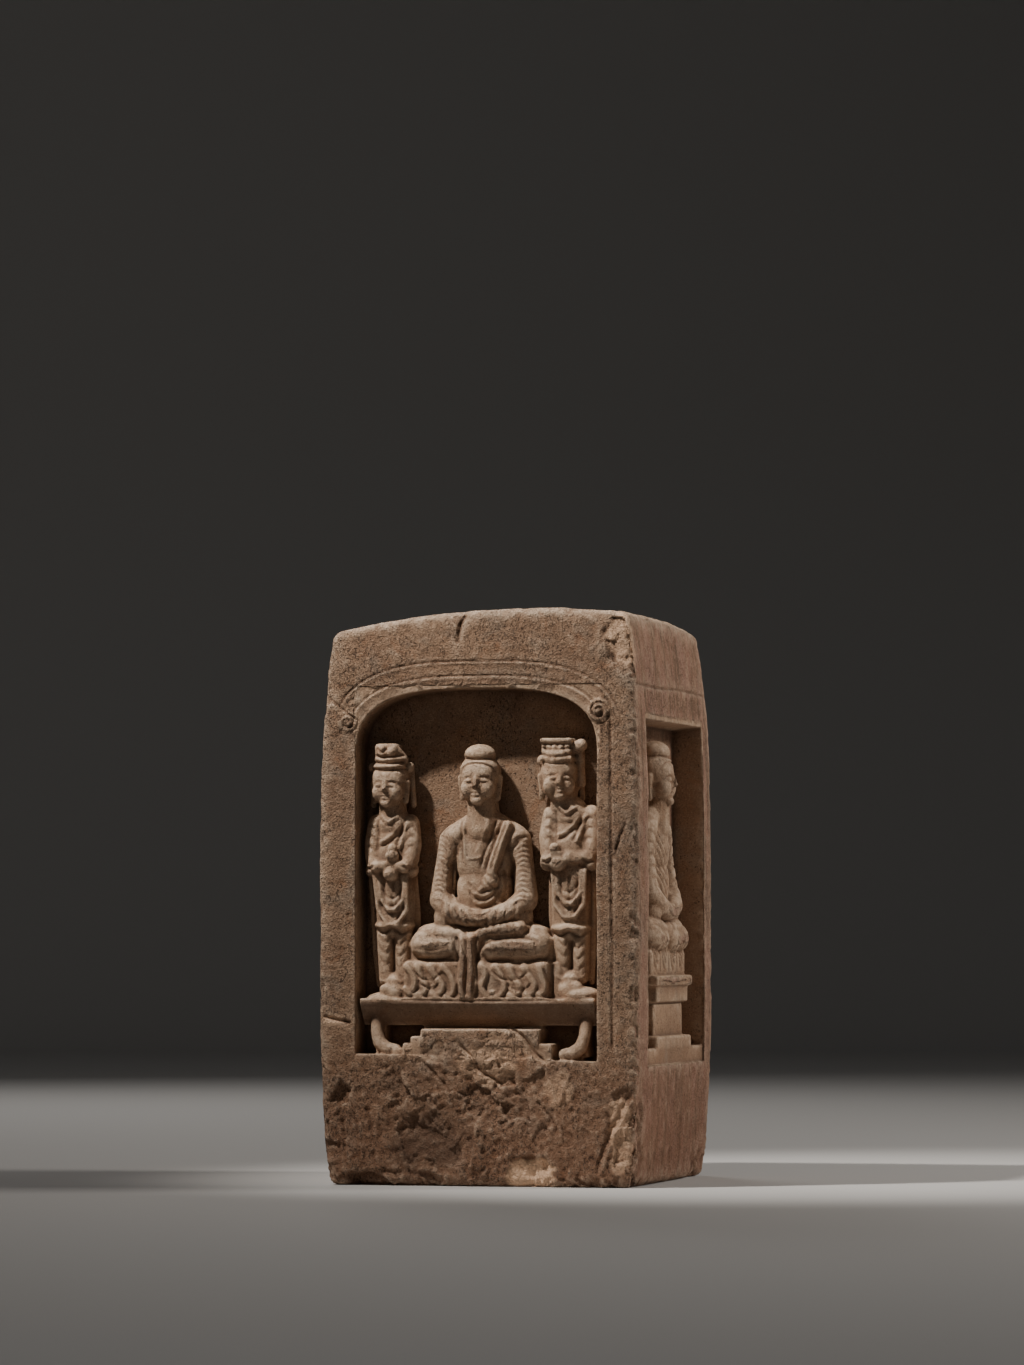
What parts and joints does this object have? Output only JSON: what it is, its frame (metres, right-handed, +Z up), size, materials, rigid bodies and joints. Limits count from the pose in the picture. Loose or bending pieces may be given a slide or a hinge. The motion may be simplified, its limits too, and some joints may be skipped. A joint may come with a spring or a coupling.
{
  "type": "carved stone stele",
  "caption": "Free-standing block of weathered limestone with swelling sides and a domed top, each face holding a niche with seated and standing devotional figures in deep relief",
  "frame": {"origin": "the middle of the flat underside, on the floor", "axes": "+Z is up; -Y is the front face with three figures; +X is the right face, to the viewer's right"},
  "size_m": [0.3353, 0.335, 0.583],
  "materials": {
    "stone": "rough, pitted and weathered brown limestone"
  },
  "bodies": {
    "root": {"stone_stele": "stone"}
  },
  "joints": []
}
